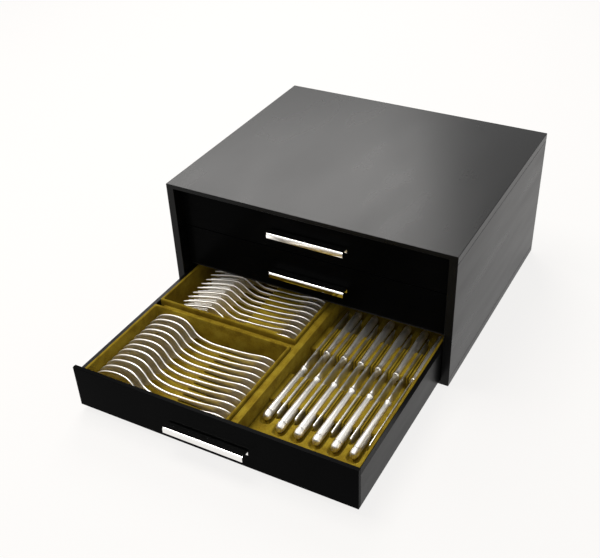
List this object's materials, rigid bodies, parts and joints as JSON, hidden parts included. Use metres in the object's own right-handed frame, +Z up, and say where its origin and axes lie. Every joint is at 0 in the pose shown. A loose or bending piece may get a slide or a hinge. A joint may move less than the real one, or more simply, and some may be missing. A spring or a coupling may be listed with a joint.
{
  "type": "silverware chest",
  "caption": "Low black lacquered chest with stacked drawers on plain slides, bent metal pulls and velvet racks holding spoons, forks and knives.",
  "frame": {"origin": "middle of the case on the resting plane, under the felt base", "axes": "+Y to the back of the case, +X to the right seen from the front, +Z up"},
  "size_m": [0.45, 0.6662, 0.219],
  "materials": {
    "case_lacquer": "satin black lacquer on wood panels",
    "drawer_lacquer": "satin black lacquer on wood",
    "box_lacquer": "black stained and lacquered wood",
    "back_board": "black stained board",
    "inner_wood": "black stained board",
    "slip_strip": "dark low-friction strip",
    "felt": "black felt",
    "polished_handle": "mirror-polished plate",
    "screw_steel": "plain steel",
    "silver_plate": "polished silver plate",
    "blade_steel": "polished stainless steel",
    "velvet": "olive-gold velvet"
  },
  "bodies": {
    "carcass": {"back_panel": "back_board", "bottom_panel": "case_lacquer", "felt_base": "felt", "left_side_panel": "case_lacquer", "lower_shelf": "inner_wood", "right_side_panel": "case_lacquer", "runner_strips": "slip_strip", "stop_blocks": "inner_wood", "top_panel": "case_lacquer", "upper_shelf": "inner_wood"},
    "drawer_1": {"drawer_1_back": "box_lacquer", "drawer_1_bottom": "inner_wood", "drawer_1_divider": "velvet", "drawer_1_front": "drawer_lacquer", "drawer_1_handle": "polished_handle", "drawer_1_handle_screws": "screw_steel", "drawer_1_left_rack": "velvet", "drawer_1_left_side": "box_lacquer", "drawer_1_liner": "velvet", "drawer_1_right_rack": "velvet", "drawer_1_right_side": "box_lacquer"},
    "drawer_2": {"drawer_2_back": "box_lacquer", "drawer_2_bottom": "inner_wood", "drawer_2_divider": "velvet", "drawer_2_front": "drawer_lacquer", "drawer_2_handle": "polished_handle", "drawer_2_handle_screws": "screw_steel", "drawer_2_left_rack": "velvet", "drawer_2_left_side": "box_lacquer", "drawer_2_liner": "velvet", "drawer_2_right_rack": "velvet", "drawer_2_right_side": "box_lacquer"},
    "drawer_3": {"drawer_3_back": "box_lacquer", "drawer_3_back_butt_pad": "velvet", "drawer_3_back_knife_rack": "velvet", "drawer_3_bottom": "inner_wood", "drawer_3_centre_divider": "velvet", "drawer_3_fork_rack": "velvet", "drawer_3_fork_tray": "velvet", "drawer_3_front": "drawer_lacquer", "drawer_3_front_butt_pad": "velvet", "drawer_3_front_knife_rack": "velvet", "drawer_3_handle": "polished_handle", "drawer_3_handle_screws": "screw_steel", "drawer_3_knife_blades": "blade_steel", "drawer_3_knife_handles": "silver_plate", "drawer_3_knife_tray": "velvet", "drawer_3_left_side": "box_lacquer", "drawer_3_right_side": "box_lacquer", "drawer_3_spoon_rack": "velvet", "drawer_3_spoon_tray": "velvet", "drawer_3_table_forks": "silver_plate", "drawer_3_table_spoons": "silver_plate", "drawer_3_tray_spacer": "velvet"}
  },
  "joints": [
    {"name": "drawer_1_slide", "type": "slide", "parent": "carcass", "child": "drawer_1", "axis": [0, -1, 0], "range_m": [0, 0.2805]},
    {"name": "drawer_2_slide", "type": "slide", "parent": "carcass", "child": "drawer_2", "axis": [0, -1, 0], "range_m": [0, 0.2805]},
    {"name": "drawer_3_slide", "type": "slide", "parent": "carcass", "child": "drawer_3", "axis": [0, -1, 0], "range_m": [-0.2805, 0]}
  ]
}
